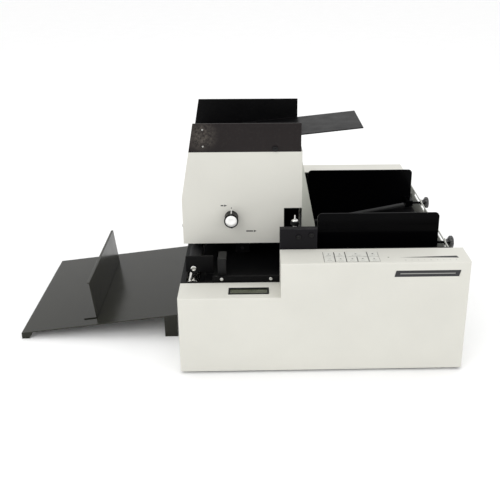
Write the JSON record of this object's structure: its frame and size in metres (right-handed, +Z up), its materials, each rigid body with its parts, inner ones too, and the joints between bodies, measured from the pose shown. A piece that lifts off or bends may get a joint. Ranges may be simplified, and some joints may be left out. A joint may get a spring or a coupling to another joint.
{
  "type": "mail labelling machine",
  "caption": "Desktop mail labelling machine: envelope hopper with sliding side guides, label head with sloping label tray, keypad, display, and a drop tray with an adjustable stop.",
  "frame": {"origin": "middle of the footprint, on the table", "axes": "+X to the hopper end (right), +Y to the back, +Z up; the keypad side faces -Y"},
  "size_m": [0.821, 0.554, 0.434],
  "materials": {
    "cover_paint": "fine texture, satin",
    "hood_paint": "fine texture, satin",
    "wall_paint": "satin",
    "black_plate": "satin black",
    "fascia_plate": "satin black",
    "side_plate_paint": "fine texture, matt",
    "tray_paint": "gloss",
    "zinc_steel": "zinc plated",
    "roller_steel": "turned",
    "screw_steel": "turned",
    "motor_can": "drawn",
    "rubber": "matt",
    "belt_rubber": "matt",
    "black_plastic": "fine grain",
    "grey_plastic": "fine grain",
    "knob_plastic": "with a bright end disc",
    "guide_gloss": "high gloss",
    "display": "grey-green panel",
    "keypad_lines": "matt",
    "key_plastic": "fine grain",
    "lamp": "clear",
    "badge": "satin",
    "circuit_board": "satin"
  },
  "bodies": {
    "root": {"base_pan": "wall_paint", "control_board": "circuit_board", "drive_belts": "belt_rubber", "drive_motor": "motor_can", "drop_tray": "tray_paint", "fascia": "fascia_plate", "feed_hood": "hood_paint", "feed_side_plate": "side_plate_paint", "frame_plates": "zinc_steel", "front_cover": "cover_paint", "front_rail": "black_plate", "head_column": "black_plate", "head_cover": "cover_paint", "head_frame": "black_plate", "hopper_bed": "black_plate", "keypad_frame": "keypad_lines", "label_feed_motor": "motor_can", "label_sensor": "grey_plastic", "label_tray": "black_plate", "lcd_bezel": "black_plastic", "lcd_display": "display", "name_plate": "badge", "notch_lining": "black_plate", "peel_bar": "zinc_steel", "power_inlet": "black_plastic", "power_supply": "zinc_steel", "rear_cover": "cover_paint", "right_side_wall": "wall_paint", "rubber_feet": "rubber", "screws": "screw_steel", "status_lamp": "lamp", "transport_deck": "black_plate"},
    "key_1": {"key_1": "key_plastic"},
    "key_2": {"key_2": "key_plastic"},
    "key_3": {"key_3": "key_plastic"},
    "key_4": {"key_4": "key_plastic"},
    "key_5": {"key_5": "key_plastic"},
    "key_6": {"key_6": "key_plastic"},
    "key_7": {"key_7": "key_plastic"},
    "key_8": {"key_8": "key_plastic"},
    "key_9": {"key_9": "key_plastic"},
    "selector_knob": {"selector_knob": "knob_plastic"},
    "separator_knob": {"separator_knob": "black_plastic"},
    "separator_block": {"separator_block": "rubber"},
    "left_adjuster": {"left_adjuster": "black_plastic"},
    "right_adjuster": {"right_adjuster": "black_plastic"},
    "exit_roller": {"exit_roller": "roller_steel"},
    "feed_roller": {"feed_roller": "rubber"},
    "pickup_roller": {"pickup_roller": "rubber"},
    "motor_pulley": {"motor_pulley": "roller_steel"},
    "exit_nip_roller": {"exit_nip_roller": "rubber"},
    "label_drive_roller": {"label_drive_roller": "rubber"},
    "label_nip_roller": {"label_nip_roller": "roller_steel"},
    "applicator_roller": {"applicator_roller": "rubber"},
    "front_guide": {"front_guide": "guide_gloss"},
    "rear_guide": {"rear_guide": "guide_gloss"},
    "front_guide_knob": {"front_guide_knob": "black_plastic"},
    "rear_guide_knob": {"rear_guide_knob": "black_plastic"},
    "tray_stop": {"tray_stop": "tray_paint"},
    "power_rocker": {"power_rocker": "black_plastic"}
  },
  "joints": [
    {"name": "key_1_press", "type": "slide", "parent": "root", "child": "key_1", "axis": [0, 0, -1], "range_m": [0, 0.0006], "stiffness_N_per_m": 400, "springref_m": -0.0003},
    {"name": "key_2_press", "type": "slide", "parent": "root", "child": "key_2", "axis": [0, 0, -1], "range_m": [0, 0.0006], "stiffness_N_per_m": 400, "springref_m": -0.0003},
    {"name": "key_3_press", "type": "slide", "parent": "root", "child": "key_3", "axis": [0, 0, -1], "range_m": [0, 0.0006], "stiffness_N_per_m": 400, "springref_m": -0.0003},
    {"name": "key_4_press", "type": "slide", "parent": "root", "child": "key_4", "axis": [0, 0, -1], "range_m": [0, 0.0006], "stiffness_N_per_m": 400, "springref_m": -0.0003},
    {"name": "key_5_press", "type": "slide", "parent": "root", "child": "key_5", "axis": [0, 0, -1], "range_m": [0, 0.0006], "stiffness_N_per_m": 400, "springref_m": -0.0003},
    {"name": "key_6_press", "type": "slide", "parent": "root", "child": "key_6", "axis": [0, 0, -1], "range_m": [0, 0.0006], "stiffness_N_per_m": 400, "springref_m": -0.0003},
    {"name": "key_7_press", "type": "slide", "parent": "root", "child": "key_7", "axis": [0, 0, -1], "range_m": [0, 0.0006], "stiffness_N_per_m": 400, "springref_m": -0.0003},
    {"name": "key_8_press", "type": "slide", "parent": "root", "child": "key_8", "axis": [0, 0, -1], "range_m": [0, 0.0006], "stiffness_N_per_m": 400, "springref_m": -0.0003},
    {"name": "key_9_press", "type": "slide", "parent": "root", "child": "key_9", "axis": [0, 0, -1], "range_m": [0, 0.0006], "stiffness_N_per_m": 400, "springref_m": -0.0003},
    {"name": "selector_turn", "type": "hinge", "parent": "root", "child": "selector_knob", "pos_m": [-0.0015, -0.137, 0.2405], "axis": [0, 1, 0], "range_deg": [0, 110]},
    {"name": "separator_turn", "type": "hinge", "parent": "root", "child": "separator_knob", "pos_m": [0.1155, -0.147, 0.236], "axis": [0, 0, 1], "range_deg": [-120, 240]},
    {"name": "separator_lift", "type": "slide", "parent": "root", "child": "separator_block", "axis": [0, 0, 1], "range_m": [-0.001, 0.002]},
    {"name": "left_adjuster_turn", "type": "hinge", "parent": "root", "child": "left_adjuster", "pos_m": [0.1185, -0.217, 0.2366], "axis": [0, 1, 0], "range_deg": [-90, 90]},
    {"name": "right_adjuster_turn", "type": "hinge", "parent": "root", "child": "right_adjuster", "pos_m": [0.1409, -0.217, 0.2403], "axis": [0, 1, 0], "range_deg": [-90, 90]},
    {"name": "exit_roller_spin", "type": "hinge", "parent": "root", "child": "exit_roller", "pos_m": [-0.0705, -0.037, 0.1375], "axis": [0, 1, 0], "continuous": true},
    {"name": "feed_roller_spin", "type": "hinge", "parent": "root", "child": "feed_roller", "pos_m": [0.1225, -0.037, 0.1375], "axis": [0, 1, 0], "continuous": true},
    {"name": "pickup_roller_spin", "type": "hinge", "parent": "root", "child": "pickup_roller", "pos_m": [0.1755, -0.037, 0.1375], "axis": [0, 1, 0], "continuous": true},
    {"name": "motor_pulley_spin", "type": "hinge", "parent": "root", "child": "motor_pulley", "pos_m": [0.3075, -0.037, 0.1375], "axis": [0, 1, 0], "continuous": true},
    {"name": "exit_nip_roller_spin", "type": "hinge", "parent": "root", "child": "exit_nip_roller", "pos_m": [-0.0705, -0.137, 0.1638], "axis": [0, 1, 0], "continuous": true},
    {"name": "label_drive_roller_spin", "type": "hinge", "parent": "root", "child": "label_drive_roller", "pos_m": [-0.0325, -0.037, 0.245], "axis": [0, 1, 0], "continuous": true},
    {"name": "label_nip_roller_spin", "type": "hinge", "parent": "root", "child": "label_nip_roller", "pos_m": [-0.0325, -0.037, 0.2217], "axis": [0, 1, 0], "continuous": true},
    {"name": "applicator_roller_spin", "type": "hinge", "parent": "root", "child": "applicator_roller", "pos_m": [0.0175, -0.037, 0.1638], "axis": [0, 1, 0], "continuous": true},
    {"name": "front_guide_slide", "type": "slide", "parent": "root", "child": "front_guide", "axis": [0, 1, 0], "range_m": [-0.016, 0.065]},
    {"name": "rear_guide_slide", "type": "slide", "parent": "root", "child": "rear_guide", "axis": [0, 1, 0], "range_m": [-0.04, 0.05]},
    {"name": "front_guide_clamp", "type": "hinge", "parent": "front_guide", "child": "front_guide_knob", "pos_m": [0.4015, -0.159, 0.1985], "axis": [1, 0, 0], "range_deg": [0, 180]},
    {"name": "rear_guide_clamp", "type": "hinge", "parent": "rear_guide", "child": "rear_guide_knob", "pos_m": [0.4015, 0.047, 0.1985], "axis": [1, 0, 0], "range_deg": [0, 180]},
    {"name": "tray_stop_slide", "type": "slide", "parent": "root", "child": "tray_stop", "axis": [0.9932, 0, 0.1167], "range_m": [-0.1, 0.12]},
    {"name": "power_rocker_tilt", "type": "hinge", "parent": "root", "child": "power_rocker", "pos_m": [0.0315, 0.271, 0.055], "axis": [1, 0, 0], "range_deg": [-8, 8]}
  ],
  "couplings": [
    {"joint": "feed_roller_spin", "follows": "exit_roller_spin", "ratio": 1},
    {"joint": "pickup_roller_spin", "follows": "exit_roller_spin", "ratio": 1},
    {"joint": "motor_pulley_spin", "follows": "exit_roller_spin", "ratio": 1},
    {"joint": "exit_nip_roller_spin", "follows": "exit_roller_spin", "ratio": -1.1667},
    {"joint": "label_nip_roller_spin", "follows": "label_drive_roller_spin", "ratio": -1.5556},
    {"joint": "separator_turn", "follows": "separator_lift", "rad_per_m": 2096.4}
  ]
}
